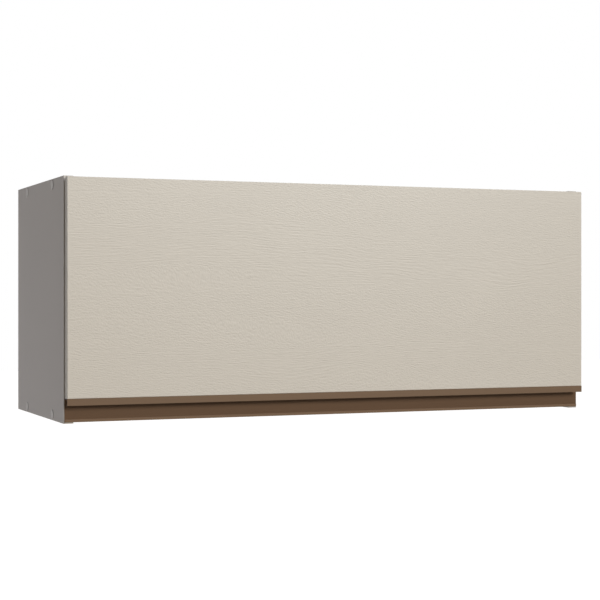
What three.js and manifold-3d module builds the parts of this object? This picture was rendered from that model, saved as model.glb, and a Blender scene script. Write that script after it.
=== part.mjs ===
// Lift up wall cabinet: a wide, low wall unit whose single front opens upwards.
// Millimetres, +Z up. The front faces -Y, the origin is at the middle of the base.
import * as THREE from 'three';
import { mergeVertices } from 'three/addons/utils/BufferGeometryUtils.js';
import Module from 'manifold-3d';

const wasm = await Module();
wasm.setup();

// ---------- Driving dimensions ----------

// Carcass
const WIDTH = 900;
const HEIGHT = 374;
const CARCASS_DEPTH = 333;
const BOARD = 15; // thickness of the carcass boards
const PANEL_INSET = 2.2; // top and bottom panels stand this far inside the side panels' ends
const BACK_BOARD = 3;
const GROOVE_DEPTH = 5; // the back board sits this deep in the other panels
const HANGING_RAIL_HEIGHT = 80;
const HANGING_RAIL_THICKNESS = 15;
const WALL_HOLE_RADIUS = 3;
const WALL_HOLE_OFFSET = 90; // from the rail's end

// Carcass screws and their cover caps
const SCREW_FROM_EDGE = 75; // along the depth, from the front and from the rear edge
const SCREW_FROM_END = 9.2; // from the side panel's upper and lower ends
const SCREW_RADIUS = 2.5;
const SCREW_LENGTH = 48;
const SCREW_HEAD_RADIUS = 5;
const SCREW_HEAD_HEIGHT = 3.2;
const SOCKET_RADIUS = 2.1;
const SOCKET_DEPTH = 2.4;
const CAP_RADIUS = 7.4;
const CAP_THICKNESS = 0.6;
const CAP_CHAMFER = 0.15;
const CAP_PLUG_RADIUS = 1.9;
const CAP_PLUG_LENGTH = 2;

// Door
const DOOR_THICKNESS = 15;
const DOOR_GAP = 4; // between the door's back and the carcass
const DOOR_SIDE_INSET = 1.3;
const DOOR_TOP_INSET = 2.4;
const DOOR_BOARD_BOTTOM = 38.8; // height of the board's lower edge
const DOOR_EDGE_ROUND = 0.6;

// Pull profile under the door board
const PROFILE_BOTTOM = 28.1;
const PROFILE_WALL = 1.3;
const PROFILE_RETURN = 2.6; // depth of the small return at the lip's foot
const PROFILE_OVERHANG = 0.4; // past the board at each end
const TONGUE_WALL = 2;
const TONGUE_HEIGHT = 8;
const TONGUE_FROM_FRONT = 7;
const TONGUE_FROM_END = 12; // the tongue and its groove stop this far inside the board's ends

// Finger rail across the carcass's front
const RAIL_BOTTOM = 2.1;
const RAIL_HEIGHT = 36;
const RAIL_WALL = 0.8;
const RAIL_END_INSET = 1.1;
const RAIL_BEAD_HEIGHT = 4.6;
const RAIL_BEAD_DEPTH = 1; // how far the foot of the rail stands out from its face
const RAIL_BEAD_ROUND = 0.8;

// Door bumpers
const BUMPER_RADIUS = 4;
const BUMPER_HEIGHT_AT = 60;

// Cup hinges
const HINGE_FROM_SIDE = 100; // from the cabinet's side to the hinge's middle
const PIVOT_DEPTH = 9; // hinge axis below the door's back face
const PIVOT_DROP = 7.7; // hinge axis below the door's top edge
const HINGE_PIN_RADIUS = 1.25;
const EYE_RADIUS = 2.55;
const CUP_RADIUS = 17.5;
const CUP_WALL = 1;
const CUP_FLOOR = 0.7;
const CUP_FROM_EDGE = 3;
const CUP_RIM_RADIUS = 19;
const FLANGE_THICKNESS = 1;
const FLANGE_EAR_HALF_HEIGHT = 6.5;
const CUP_SCREW_SPACING = 45;
const CUP_SCREW_DROP = 9.5; // cup screws below the cup's middle
const ARM_WIDTH = 10;
const ARM_REACH = 56; // from the carcass's front to the arm's rear end
const ARM_SETBACK = 6; // full height starts this far behind the carcass's front
const HOOK_WALL = 2.4;
const HOOK_FOOT = 3;
const HOOK_DROP = 16.5; // from the hinge axis to the underside of the hook
const PLATE_THICKNESS = 3;
const PLATE_FROM_FRONT = 37; // line of the plate's screws
const PLATE_SCREW_SPACING = 32;
const PLATE_WING = 7; // half width of the plate's cross bar, and its length past the screws
const PLATE_STEM_WIDTH = 14;
const SMALL_SCREW_RADIUS = 1.8;
const SMALL_SCREW_LENGTH = 13;
const SMALL_HEAD_RADIUS = 3.6;
const SMALL_HEAD_HEIGHT = 1.8;

// Stays that hold the door up: a lever and a link form a parallelogram with the door
const STAY_BASE_LENGTH = 90; // from the hinge axis to the lever's pivot
const STAY_SLOPE = 20; // degrees that this line falls towards the back
const STAY_ARM_LENGTH = 90; // from the hinge axis down to the door bracket's pin
const STAY_STANDOFF = 14; // bracket's pin behind the door's back
const HOUSING_LENGTH = 114;
const HOUSING_HEIGHT = 50;
const HOUSING_THICKNESS = 15;
const HOUSING_CORNER = 8;
const HOUSING_FROM_FRONT = 14;
const HOUSING_FROM_TOP = 6;
const LEVER_THICKNESS = 3;
const LEVER_PIVOT_END = 11;
const LEVER_ELBOW_END = 8;
const LINK_THICKNESS = 3;
const LINK_END = 7;
const PIVOT_PIN_RADIUS = 4;
const PIVOT_PIN_DEPTH = 9;
const PIVOT_HEAD_RADIUS = 7;
const RIVET_RADIUS = 3;
const RIVET_HEAD_RADIUS = 5;
const RIVET_HEAD = 1.4;
const BRACKET_WALL = 2.5;
const BRACKET_HEIGHT = 32;
const BRACKET_BASE = 34;
const BRACKET_LUG_END = 8;
const BRACKET_SCREW_SPACING = 18;

// Clearances
const FIT = 0.3; // between boards, and between hardware and boards
const SNUG = 0.12; // between a fastener and its hole or seat
const RUNNING = 0.15; // between a pin and the bore that turns on it
const PLAY = 0.35; // between flat parts that slide past each other

const ROUND_SIDES = 16;
const CUP_SIDES = 32;

// ---------- Places that follow from the dimensions ----------

const REAR = (CARCASS_DEPTH + DOOR_GAP + DOOR_THICKNESS) / 2;
const FRONT = REAR - CARCASS_DEPTH;
const DOOR_BACK = FRONT - DOOR_GAP;
const DOOR_FRONT = DOOR_BACK - DOOR_THICKNESS;
const HALF = WIDTH / 2;
const SIDE_INNER = HALF - BOARD;
const PANEL_END = SIDE_INNER - FIT;
const TOP_UNDERSIDE = HEIGHT - PANEL_INSET - BOARD;
const BOTTOM_UPPER = PANEL_INSET + BOARD;
const BACK_REAR = REAR - HANGING_RAIL_THICKNESS - FIT;
const BACK_FRONT = BACK_REAR - BACK_BOARD;
const DOOR_TOP = HEIGHT - DOOR_TOP_INSET;
const DOOR_HALF = HALF - DOOR_SIDE_INSET;
const TONGUE_END = DOOR_HALF - TONGUE_FROM_END;
const HINGE_X = HALF - HINGE_FROM_SIDE;
const SCREW_ROWS = [FRONT + SCREW_FROM_EDGE, REAR - SCREW_FROM_EDGE];
const SCREW_LEVELS = [SCREW_FROM_END, HEIGHT - SCREW_FROM_END];
const SIDES = [['left', -1], ['right', 1]];

// Points of the mechanism, as (y, z) in the plane in which the door turns.
const PIVOT = new THREE.Vector2(DOOR_BACK - PIVOT_DEPTH, DOOR_TOP - PIVOT_DROP);
const STAY_ANGLE = THREE.MathUtils.degToRad(STAY_SLOPE);
const LEVER_PIVOT = new THREE.Vector2(Math.cos(STAY_ANGLE), -Math.sin(STAY_ANGLE))
  .multiplyScalar(STAY_BASE_LENGTH).add(PIVOT);
const DOOR_PIN = new THREE.Vector2(DOOR_BACK + STAY_STANDOFF, PIVOT.y - STAY_ARM_LENGTH);
const ELBOW = DOOR_PIN.clone().sub(PIVOT).add(LEVER_PIVOT);

// Layers of a stay, counted inwards from the side panel's inner face.
const HOUSING_OUT = SIDE_INNER - FIT;
const HOUSING_IN = HOUSING_OUT - HOUSING_THICKNESS;
const LEVER_OUT = HOUSING_IN - PLAY;
const LEVER_IN = LEVER_OUT - LEVER_THICKNESS;
const LINK_OUT = LEVER_IN - PLAY;
const LINK_IN = LINK_OUT - LINK_THICKNESS;
const LUG_OUT = LINK_IN - PLAY;
const LUG_IN = LUG_OUT - BRACKET_WALL;

const CUP_MIDDLE = DOOR_TOP - CUP_FROM_EDGE - CUP_RADIUS;
const CUP_INNER_DEPTH = PIVOT_DEPTH + EYE_RADIUS + FIT;
const CUP_DEPTH = CUP_INNER_DEPTH + CUP_FLOOR;
const CUP_SCREW_LEVEL = CUP_MIDDLE - CUP_SCREW_DROP;
const FLANGE_BACK = DOOR_BACK + SNUG;
const FLANGE_FACE = FLANGE_BACK + FLANGE_THICKNESS;
const PLATE_TOP = TOP_UNDERSIDE - SNUG;
const PLATE_UNDERSIDE = PLATE_TOP - PLATE_THICKNESS;
const ARM_TOP = PLATE_UNDERSIDE - SNUG;
const HOOK_UNDERSIDE = PIVOT.y - HOOK_DROP;
const PLATE_SCREW_Y = FRONT + PLATE_FROM_FRONT;

// ---------- Materials ----------

const material = (color, roughness, metalness = 0) =>
  new THREE.MeshStandardMaterial({ color, roughness, metalness });
const CARCASS_BOARD = material(0xd9d3c6, 0.55);
const DOOR_BOARD = material(0xd9d2c4, 0.5);
const BACK_SHEET = material(0xcfc8ba, 0.7);
const RAIL_BOARD = material(0xd9d3c6, 0.6);
const BROWN_METAL = material(0x7b644d, 0.35, 0.6);
const HINGE_STEEL = material(0xb9bab8, 0.3, 0.9);
const SCREW_STEEL = material(0xa9a9a5, 0.35, 0.9);
const CAP_PLASTIC = material(0xd2ccc0, 0.5);
const STAY_PLASTIC = material(0xb8b8b5, 0.45);
const BUMPER_PLASTIC = material(0xe6e6e2, 0.4);

// ---------- Geometry helpers ----------

function solidOf(geometry) {
  const bare = geometry.clone();
  bare.deleteAttribute('normal');
  bare.deleteAttribute('uv');
  const merged = mergeVertices(bare, 1e-4);
  return new wasm.Manifold(new wasm.Mesh({
    numProp: 3,
    vertProperties: merged.attributes.position.array,
    triVerts: Uint32Array.from(merged.index.array),
  }));
}

function geometryOf(solid) {
  const mesh = solid.getMesh();
  const geometry = new THREE.BufferGeometry();
  geometry.setAttribute('position', new THREE.BufferAttribute(mesh.vertProperties, 3));
  geometry.setIndex(new THREE.BufferAttribute(mesh.triVerts, 1));
  geometry.computeVertexNormals();
  return geometry;
}

const carve = (body, tools) =>
  geometryOf(tools.reduce((rest, tool) => rest.subtract(solidOf(tool)), solidOf(body)));
const join = (body, others) =>
  geometryOf(others.reduce((whole, other) => whole.add(solidOf(other)), solidOf(body)));

// A box between two x, two y and two z values, each pair in any order.
function box([x0, x1], [y0, y1], [z0, z1]) {
  const geometry = new THREE.BoxGeometry(Math.abs(x1 - x0), Math.abs(y1 - y0), Math.abs(z1 - z0));
  return geometry.translate((x0 + x1) / 2, (y0 + y1) / 2, (z0 + z1) / 2);
}

// The axes that carry a shape's own x and y, and the way that it is extruded.
const AXIS = {
  X: [[0, 1, 0], [0, 0, 1], [1, 0, 0]],
  Y: [[0, 0, 1], [1, 0, 0], [0, 1, 0]],
  Z: [[1, 0, 0], [0, 1, 0], [0, 0, 1]],
};

// A shape extruded along X, Y or Z from one value to another. The shape's own
// axes are then (y, z), (z, x) or (x, y).
function prism(shape, axis, a, b) {
  const geometry = new THREE.ExtrudeGeometry(shape, {
    depth: Math.abs(b - a), bevelEnabled: false, curveSegments: ROUND_SIDES / 2,
  });
  geometry.translate(0, 0, Math.min(a, b));
  const basis = AXIS[axis].map((direction) => new THREE.Vector3(...direction));
  return geometry.applyMatrix4(new THREE.Matrix4().makeBasis(...basis));
}

// A solid of revolution: [radius, height] pairs from axis to axis, standing on a
// point and rising along a direction.
function turned(profile, base, direction, sides = ROUND_SIDES) {
  const points = profile.map(([radius, height]) => new THREE.Vector2(radius, height));
  const geometry = new THREE.LatheGeometry(points, sides);
  const turn = new THREE.Quaternion().setFromUnitVectors(
    new THREE.Vector3(0, 1, 0), new THREE.Vector3(...direction));
  return geometry.applyQuaternion(turn).translate(...base);
}

const rod = (radius, length, base, direction, sides) =>
  turned([[0, 0], [radius, 0], [radius, length], [0, length]], base, direction, sides);

function polygon(points) {
  const shape = new THREE.Shape();
  shape.setFromPoints(points.map(([u, v]) => new THREE.Vector2(u, v)));
  return shape;
}

function roundedRectangle(u0, u1, v0, v1, radius) {
  const shape = new THREE.Shape();
  shape.absarc(u1 - radius, v0 + radius, radius, -Math.PI / 2, 0);
  shape.absarc(u1 - radius, v1 - radius, radius, 0, Math.PI / 2);
  shape.absarc(u0 + radius, v1 - radius, radius, Math.PI / 2, Math.PI);
  shape.absarc(u0 + radius, v0 + radius, radius, Math.PI, Math.PI * 1.5);
  shape.closePath();
  return shape;
}

// A bar with round ends of its own radii about two points, with a bore in each.
function linkShape(a, b, endA, endB, boreA, boreB) {
  const along = Math.atan2(b.y - a.y, b.x - a.x);
  const lean = Math.acos((endA - endB) / a.distanceTo(b));
  const shape = new THREE.Shape();
  shape.absarc(a.x, a.y, endA, along + lean, along - lean + Math.PI * 2);
  shape.absarc(b.x, b.y, endB, along - lean, along + lean);
  shape.closePath();
  for (const [centre, bore] of [[a, boreA], [b, boreB]]) {
    shape.holes.push(new THREE.Path().absarc(centre.x, centre.y, bore, 0, Math.PI * 2, true));
  }
  return shape;
}

const cabinet = new THREE.Group();

function add(name, geometry, look) {
  const mesh = new THREE.Mesh(geometry, look);
  mesh.name = name;
  cabinet.add(mesh);
}

// ---------- Carcass ----------

// Two 15 mm sides, each with a groove for the back and four counterbored holes.
function sidePanel(side) {
  const outer = side * HALF;
  const inner = side * SIDE_INNER;
  const inwards = [-side, 0, 0];
  const groove = box([inner - side * FIT, inner + side * GROOVE_DEPTH],
    [BACK_FRONT - FIT, BACK_REAR + FIT], [-FIT, HEIGHT + FIT]);
  const holes = SCREW_ROWS.flatMap((y) => SCREW_LEVELS.flatMap((z) => [
    rod(SCREW_RADIUS + SNUG, BOARD + 2 * FIT, [outer + side * FIT, y, z], inwards),
    rod(SCREW_HEAD_RADIUS + SNUG, SCREW_HEAD_HEIGHT + SNUG + FIT, [outer + side * FIT, y, z],
      inwards),
  ]));
  return carve(box([outer, inner], [FRONT, REAR], [0, HEIGHT]), [groove, ...holes]);
}

// Holes for the carcass screws in the end grain of a panel at one level.
function endHoles(level) {
  const length = SCREW_LENGTH + FIT - (HALF - PANEL_END) + FIT;
  return SIDES.flatMap(([, side]) => SCREW_ROWS.map((y) =>
    rod(SCREW_RADIUS + SNUG, length, [side * (PANEL_END + FIT), y, level], [-side, 0, 0])));
}

// The groove for the back in a panel whose inner face is at one level.
const backGroove = (level, upwards) => box([-HALF, HALF], [BACK_FRONT - FIT, BACK_REAR + FIT],
  [level - upwards * FIT, level + upwards * GROOVE_DEPTH]);

function topPanel() {
  const screwHoles = SIDES.flatMap(([, side]) => [-1, 1].map((end) =>
    rod(SMALL_SCREW_RADIUS + SNUG, SMALL_SCREW_LENGTH,
      [side * HINGE_X + end * PLATE_SCREW_SPACING / 2, PLATE_SCREW_Y, TOP_UNDERSIDE - FIT],
      [0, 0, 1])));
  const board = box([-PANEL_END, PANEL_END], [FRONT, REAR],
    [TOP_UNDERSIDE, HEIGHT - PANEL_INSET]);
  return carve(board, [backGroove(TOP_UNDERSIDE, 1), ...endHoles(SCREW_LEVELS[1]),
    ...screwHoles]);
}

function bottomPanel() {
  const board = box([-PANEL_END, PANEL_END], [FRONT, REAR], [PANEL_INSET, BOTTOM_UPPER]);
  return carve(board, [backGroove(BOTTOM_UPPER, -1), ...endHoles(SCREW_LEVELS[0])]);
}

const backPanel = () => box(
  [-SIDE_INNER - GROOVE_DEPTH + FIT, SIDE_INNER + GROOVE_DEPTH - FIT],
  [BACK_FRONT, BACK_REAR],
  [BOTTOM_UPPER - GROOVE_DEPTH + FIT, TOP_UNDERSIDE + GROOVE_DEPTH - FIT]);

// The board behind the back's top edge that hangs the cabinet on the wall.
function hangingRail() {
  const top = TOP_UNDERSIDE - FIT;
  const wallHoles = SIDES.map(([, side]) => rod(WALL_HOLE_RADIUS,
    HANGING_RAIL_THICKNESS + 2 * FIT,
    [side * (PANEL_END - WALL_HOLE_OFFSET), REAR + FIT, top - HANGING_RAIL_HEIGHT / 2],
    [0, -1, 0]));
  const board = box([-PANEL_END, PANEL_END], [REAR - HANGING_RAIL_THICKNESS, REAR],
    [top - HANGING_RAIL_HEIGHT, top]);
  return carve(board, wallHoles);
}

// A thin brown facing over the carcass's lower front, with a rounded bead at its foot.
function fingerRail() {
  const back = FRONT - FIT;
  const face = back - RAIL_WALL;
  const bead = face - RAIL_BEAD_DEPTH;
  const round = RAIL_BEAD_ROUND;
  const beadTop = RAIL_BOTTOM + RAIL_BEAD_HEIGHT;
  const section = new THREE.Shape();
  section.moveTo(back, RAIL_BOTTOM);
  section.lineTo(back, RAIL_BOTTOM + RAIL_HEIGHT);
  section.lineTo(face, RAIL_BOTTOM + RAIL_HEIGHT);
  section.lineTo(face, beadTop);
  section.absarc(bead + round, beadTop - round, round, Math.PI / 2, Math.PI);
  section.absarc(bead + round, RAIL_BOTTOM + round, round, Math.PI, Math.PI * 1.5);
  section.closePath();
  return prism(section, 'X', RAIL_END_INSET - HALF, HALF - RAIL_END_INSET);
}

// A countersunk carcass screw with a socket in its head, along -X or +X.
function carcassScrew(side, y, z) {
  const body = [[0, 0], [SCREW_HEAD_RADIUS, 0], [SCREW_HEAD_RADIUS, SCREW_HEAD_HEIGHT],
    [SCREW_RADIUS, SCREW_HEAD_HEIGHT], [SCREW_RADIUS, SCREW_LENGTH - SCREW_RADIUS],
    [0, SCREW_LENGTH]];
  const socket = [[0, SOCKET_DEPTH], [SOCKET_RADIUS, SOCKET_DEPTH], [SOCKET_RADIUS, 0]];
  return turned([...socket, ...body.slice(1)], [side * (HALF - SNUG), y, z], [-side, 0, 0]);
}

// A cover cap: a thin disc whose plug sits in the screw's socket.
function screwCap(side, y, z) {
  const profile = [[0, 0], [CAP_PLUG_RADIUS, 0], [CAP_PLUG_RADIUS, CAP_PLUG_LENGTH + SNUG],
    [CAP_RADIUS, CAP_PLUG_LENGTH + SNUG],
    [CAP_RADIUS, CAP_PLUG_LENGTH + SNUG + CAP_THICKNESS - CAP_CHAMFER],
    [CAP_RADIUS - CAP_CHAMFER, CAP_PLUG_LENGTH + SNUG + CAP_THICKNESS],
    [0, CAP_PLUG_LENGTH + SNUG + CAP_THICKNESS]];
  return turned(profile, [side * (HALF - CAP_PLUG_LENGTH), y, z], [side, 0, 0]);
}

add('left_side_panel', sidePanel(-1), CARCASS_BOARD);
add('right_side_panel', sidePanel(1), CARCASS_BOARD);
add('top_panel', topPanel(), CARCASS_BOARD);
add('bottom_panel', bottomPanel(), CARCASS_BOARD);
add('back_panel', backPanel(), BACK_SHEET);
add('hanging_rail', hangingRail(), RAIL_BOARD);
add('finger_rail', fingerRail(), BROWN_METAL);
for (const [name, side] of SIDES) {
  const places = SCREW_LEVELS.flatMap((z) => SCREW_ROWS.map((y) => [y, z]));
  places.forEach(([y, z], index) => {
    add(`${name}_carcass_screw_${index + 1}`, carcassScrew(side, y, z), SCREW_STEEL);
    add(`${name}_screw_cap_${index + 1}`, screwCap(side, y, z), CAP_PLASTIC);
  });
}

// ---------- Door ----------

// The board, with a groove for the profile's tongue, two cup holes and their screw holes.
function doorBoard() {
  const round = DOOR_EDGE_ROUND;
  const outline = polygon([[DOOR_BOARD_BOTTOM + round, round - DOOR_HALF],
    [DOOR_TOP - round, round - DOOR_HALF], [DOOR_TOP - round, DOOR_HALF - round],
    [DOOR_BOARD_BOTTOM + round, DOOR_HALF - round]]);
  const basis = AXIS.Y.map((direction) => new THREE.Vector3(...direction));
  const board = new THREE.ExtrudeGeometry(outline, {
    depth: DOOR_THICKNESS - 2 * round, bevelThickness: round, bevelSize: round, bevelSegments: 2,
  }).translate(0, 0, DOOR_FRONT + round).applyMatrix4(new THREE.Matrix4().makeBasis(...basis));
  const tongueFront = DOOR_FRONT + TONGUE_FROM_FRONT;
  const grooveEnd = TONGUE_END + FIT;
  const groove = box([-grooveEnd, grooveEnd], [tongueFront - FIT, tongueFront + TONGUE_WALL + FIT],
    [DOOR_BOARD_BOTTOM - FIT, DOOR_BOARD_BOTTOM + TONGUE_HEIGHT]);
  const holes = SIDES.flatMap(([, side]) => {
    const x = side * HINGE_X;
    const cup = rod(CUP_RADIUS + SNUG, CUP_DEPTH + SNUG + FIT,
      [x, DOOR_BACK + FIT, CUP_MIDDLE], [0, -1, 0], CUP_SIDES);
    const screws = [-1, 1].map((end) => rod(SMALL_SCREW_RADIUS + SNUG,
      SMALL_SCREW_LENGTH - FLANGE_THICKNESS + FIT,
      [x + end * CUP_SCREW_SPACING / 2, DOOR_BACK + FIT, CUP_SCREW_LEVEL], [0, -1, 0]));
    return [cup, ...screws];
  });
  return carve(board, [groove, ...holes]);
}

// The extruded pull: a thin lip in line with the door's face, hollow behind for fingers.
// Its tongue is cut back at both ends, so that the board's groove stays hidden.
function pullProfile() {
  const top = DOOR_BOARD_BOTTOM - SNUG;
  const flange = top - PROFILE_WALL;
  const lip = DOOR_FRONT + PROFILE_WALL;
  const foot = PROFILE_BOTTOM + PROFILE_WALL;
  const rear = DOOR_BACK - FIT;
  const section = polygon([[DOOR_FRONT, PROFILE_BOTTOM],
    [DOOR_FRONT + PROFILE_RETURN, PROFILE_BOTTOM], [DOOR_FRONT + PROFILE_RETURN, foot],
    [lip, foot], [lip, flange], [rear, flange], [rear, top], [DOOR_FRONT, top]]);
  const end = DOOR_HALF + PROFILE_OVERHANG;
  const tongueFront = DOOR_FRONT + TONGUE_FROM_FRONT;
  const tongue = box([-TONGUE_END, TONGUE_END], [tongueFront, tongueFront + TONGUE_WALL],
    [top - PROFILE_WALL / 2, top + TONGUE_HEIGHT - FIT]);
  return join(prism(section, 'X', -end, end), [tongue]);
}

const doorBumper = (side) => rod(BUMPER_RADIUS, DOOR_GAP - SNUG - FIT,
  [side * (HALF - BOARD / 2), DOOR_BACK + SNUG, BUMPER_HEIGHT_AT], [0, 1, 0]);

add('door_panel', doorBoard(), DOOR_BOARD);
add('pull_profile', pullProfile(), BROWN_METAL);
for (const [name, side] of SIDES) add(`${name}_door_bumper`, doorBumper(side), BUMPER_PLASTIC);

// ---------- Cup hinges ----------

// A steel cup with a screw flange. A pin across its upper part is the door's axis.
function hingeCup(x) {
  const cup = turned([[0, 0], [CUP_RADIUS, 0], [CUP_RADIUS, CUP_DEPTH + SNUG],
    [CUP_RIM_RADIUS, CUP_DEPTH + SNUG], [CUP_RIM_RADIUS, CUP_DEPTH + SNUG + FLANGE_THICKNESS],
    [0, CUP_DEPTH + SNUG + FLANGE_THICKNESS]],
  [x, DOOR_BACK - CUP_DEPTH, CUP_MIDDLE], [0, 1, 0], CUP_SIDES);
  const earEnd = CUP_SCREW_SPACING / 2 + FLANGE_EAR_HALF_HEIGHT;
  const ears = prism(roundedRectangle(CUP_SCREW_LEVEL - FLANGE_EAR_HALF_HEIGHT,
    CUP_SCREW_LEVEL + FLANGE_EAR_HALF_HEIGHT, x - earEnd, x + earEnd,
    FLANGE_EAR_HALF_HEIGHT - FIT), 'Y', FLANGE_BACK, FLANGE_FACE);
  const bowl = rod(CUP_RADIUS - CUP_WALL, CUP_DEPTH, [x, FLANGE_FACE + FIT, CUP_MIDDLE],
    [0, -1, 0], CUP_SIDES);
  const bowlFloor = rod(CUP_RADIUS - CUP_WALL, CUP_INNER_DEPTH, [x, DOOR_BACK, CUP_MIDDLE],
    [0, -1, 0], CUP_SIDES);
  const pinBore = rod(HINGE_PIN_RADIUS + SNUG, 2 * CUP_RADIUS,
    [x - CUP_RADIUS, PIVOT.x, PIVOT.y], [1, 0, 0]);
  const screwHoles = [-1, 1].map((end) => rod(SMALL_SCREW_RADIUS + SNUG,
    FLANGE_THICKNESS + 2 * FIT,
    [x + end * CUP_SCREW_SPACING / 2, FLANGE_BACK - FIT, CUP_SCREW_LEVEL], [0, 1, 0]));
  return carve(join(cup, [ears]), [bowl, bowlFloor, pinBore, ...screwHoles]);
}

// Half the length that the pin can have: its ends stop inside the cup's wall.
const HINGE_PIN_HALF = Math.sqrt((CUP_RADIUS - CUP_WALL / 2) ** 2
  - (PIVOT.y + HINGE_PIN_RADIUS - CUP_MIDDLE) ** 2);
const hingePin = (x) => rod(HINGE_PIN_RADIUS, 2 * HINGE_PIN_HALF,
  [x - HINGE_PIN_HALF, PIVOT.x, PIVOT.y], [1, 0, 0]);

// The arm runs under its plate, then hooks down and up into the cup to an eye.
function hingeArm(x) {
  const half = HOOK_WALL / 2;
  const lean = Math.asin(half / EYE_RADIUS);
  const footTop = HOOK_UNDERSIDE + HOOK_FOOT;
  const armFront = FRONT + ARM_SETBACK;
  const armRear = FRONT + ARM_REACH;
  const outline = new THREE.Shape();
  outline.moveTo(PIVOT.x - half, HOOK_UNDERSIDE);
  outline.lineTo(armRear, HOOK_UNDERSIDE);
  outline.lineTo(armRear, ARM_TOP);
  outline.lineTo(armFront, ARM_TOP);
  outline.lineTo(armFront, footTop);
  outline.lineTo(PIVOT.x + half, footTop);
  outline.absarc(PIVOT.x, PIVOT.y, EYE_RADIUS, lean - Math.PI / 2, Math.PI * 1.5 - lean);
  outline.closePath();
  outline.holes.push(new THREE.Path()
    .absarc(PIVOT.x, PIVOT.y, HINGE_PIN_RADIUS + RUNNING, 0, Math.PI * 2, true));
  const arm = prism(outline, 'X', x - ARM_WIDTH / 2, x + ARM_WIDTH / 2);
  const screwHole = rod(SMALL_SCREW_RADIUS + SNUG, ARM_TOP - HOOK_UNDERSIDE + 2 * FIT,
    [x, PLATE_SCREW_Y, HOOK_UNDERSIDE - FIT], [0, 0, 1]);
  return carve(arm, [screwHole]);
}

// A cross-shaped mounting plate under the top panel.
function hingePlate(x) {
  const stem = PLATE_STEM_WIDTH / 2;
  const wing = PLATE_SCREW_SPACING / 2 + PLATE_WING;
  const stemFront = FRONT + ARM_SETBACK;
  const stemRear = FRONT + ARM_REACH;
  const outline = polygon([[x - stem, stemFront], [x + stem, stemFront],
    [x + stem, PLATE_SCREW_Y - PLATE_WING], [x + wing, PLATE_SCREW_Y - PLATE_WING],
    [x + wing, PLATE_SCREW_Y + PLATE_WING], [x + stem, PLATE_SCREW_Y + PLATE_WING],
    [x + stem, stemRear], [x - stem, stemRear], [x - stem, PLATE_SCREW_Y + PLATE_WING],
    [x - wing, PLATE_SCREW_Y + PLATE_WING], [x - wing, PLATE_SCREW_Y - PLATE_WING],
    [x - stem, PLATE_SCREW_Y - PLATE_WING]]);
  for (const offset of [-PLATE_SCREW_SPACING / 2, 0, PLATE_SCREW_SPACING / 2]) {
    outline.holes.push(new THREE.Path().absarc(x + offset, PLATE_SCREW_Y,
      SMALL_SCREW_RADIUS + SNUG, 0, Math.PI * 2, true));
  }
  return prism(outline, 'Z', PLATE_UNDERSIDE, PLATE_TOP);
}

// A small pan-head screw: its head's seat is at the base, and it points along a direction.
function smallScrew(base, direction, length = SMALL_SCREW_LENGTH - 2 * FIT) {
  const rim = SMALL_HEAD_HEIGHT / 2;
  return turned([[0, -SMALL_HEAD_HEIGHT], [SMALL_HEAD_RADIUS - rim, -SMALL_HEAD_HEIGHT],
    [SMALL_HEAD_RADIUS, -rim], [SMALL_HEAD_RADIUS, 0], [SMALL_SCREW_RADIUS, 0],
    [SMALL_SCREW_RADIUS, length - SMALL_SCREW_RADIUS], [0, length]], base, direction, 12);
}

for (const [name, side] of SIDES) {
  const x = side * HINGE_X;
  add(`${name}_hinge_plate`, hingePlate(x), HINGE_STEEL);
  add(`${name}_hinge_arm`, hingeArm(x), HINGE_STEEL);
  add(`${name}_hinge_cup`, hingeCup(x), HINGE_STEEL);
  add(`${name}_hinge_pin`, hingePin(x), HINGE_STEEL);
  add(`${name}_arm_screw`, smallScrew([x, PLATE_SCREW_Y, HOOK_UNDERSIDE - SNUG], [0, 0, 1],
    PLATE_TOP - HOOK_UNDERSIDE), SCREW_STEEL);
  for (const [number, end] of [[1, -1], [2, 1]]) {
    add(`${name}_plate_screw_${number}`,
      smallScrew([x + end * PLATE_SCREW_SPACING / 2, PLATE_SCREW_Y, PLATE_UNDERSIDE - SNUG],
        [0, 0, 1]), SCREW_STEEL);
    add(`${name}_cup_screw_${number}`,
      smallScrew([x + end * CUP_SCREW_SPACING / 2, FLANGE_FACE + SNUG, CUP_SCREW_LEVEL],
        [0, -1, 0]), SCREW_STEEL);
  }
}

// ---------- Stays ----------

// The spring housing on the side panel, with a blind bore for the lever's pivot pin.
function stayHousing(side) {
  const y = FRONT + HOUSING_FROM_FRONT;
  const z = TOP_UNDERSIDE - HOUSING_FROM_TOP;
  const outline = roundedRectangle(y, y + HOUSING_LENGTH, z - HOUSING_HEIGHT, z, HOUSING_CORNER);
  const block = prism(outline, 'X', side * HOUSING_OUT, side * HOUSING_IN);
  const bore = rod(PIVOT_PIN_RADIUS + SNUG, PIVOT_PIN_DEPTH + FIT + SNUG,
    [side * (HOUSING_IN - FIT), LEVER_PIVOT.x, LEVER_PIVOT.y], [side, 0, 0]);
  return carve(block, [bore]);
}

// The headed pin in the housing on which the lever turns.
function pivotPin(side) {
  const shank = PIVOT_PIN_DEPTH + PLAY + LEVER_THICKNESS + PLAY;
  return turned([[0, 0], [PIVOT_PIN_RADIUS, 0], [PIVOT_PIN_RADIUS, shank],
    [PIVOT_HEAD_RADIUS, shank], [PIVOT_HEAD_RADIUS, shank + RIVET_HEAD],
    [0, shank + RIVET_HEAD]],
  [side * (HOUSING_IN + PIVOT_PIN_DEPTH), LEVER_PIVOT.x, LEVER_PIVOT.y], [-side, 0, 0]);
}

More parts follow.
